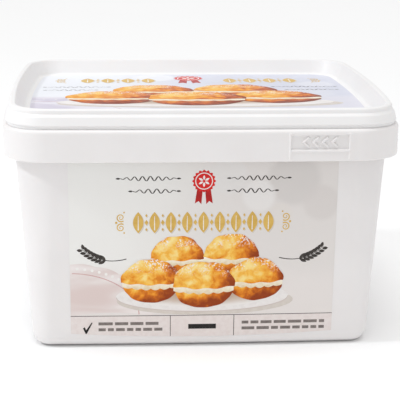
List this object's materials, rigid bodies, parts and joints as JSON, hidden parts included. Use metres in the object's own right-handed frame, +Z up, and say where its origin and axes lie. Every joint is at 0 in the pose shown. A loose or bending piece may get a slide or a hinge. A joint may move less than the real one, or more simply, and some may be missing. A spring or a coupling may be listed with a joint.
{
  "type": "lidded food tub",
  "caption": "Shut rectangular plastic food tub with a tapered body, a hanging collar with a pull tab, a push-on lid with a sunken panel, and film labels on its front and lid.",
  "frame": {"origin": "middle of the footprint, on the surface that the tub stands on", "axes": "+X along the long side, to the right seen from the front; +Y to the back; +Z up. The front label faces -Y"},
  "size_m": [0.2, 0.176, 0.1234],
  "materials": {
    "tub_plastic": "white moulded polypropylene, satin",
    "lid_plastic": "white moulded polypropylene, satin",
    "front_film": "printed film, satin gloss",
    "lid_film": "printed film, satin gloss"
  },
  "bodies": {
    "root": {"tub": "tub_plastic", "lid": "lid_plastic", "front_label": "front_film", "lid_label": "lid_film"}
  },
  "joints": []
}
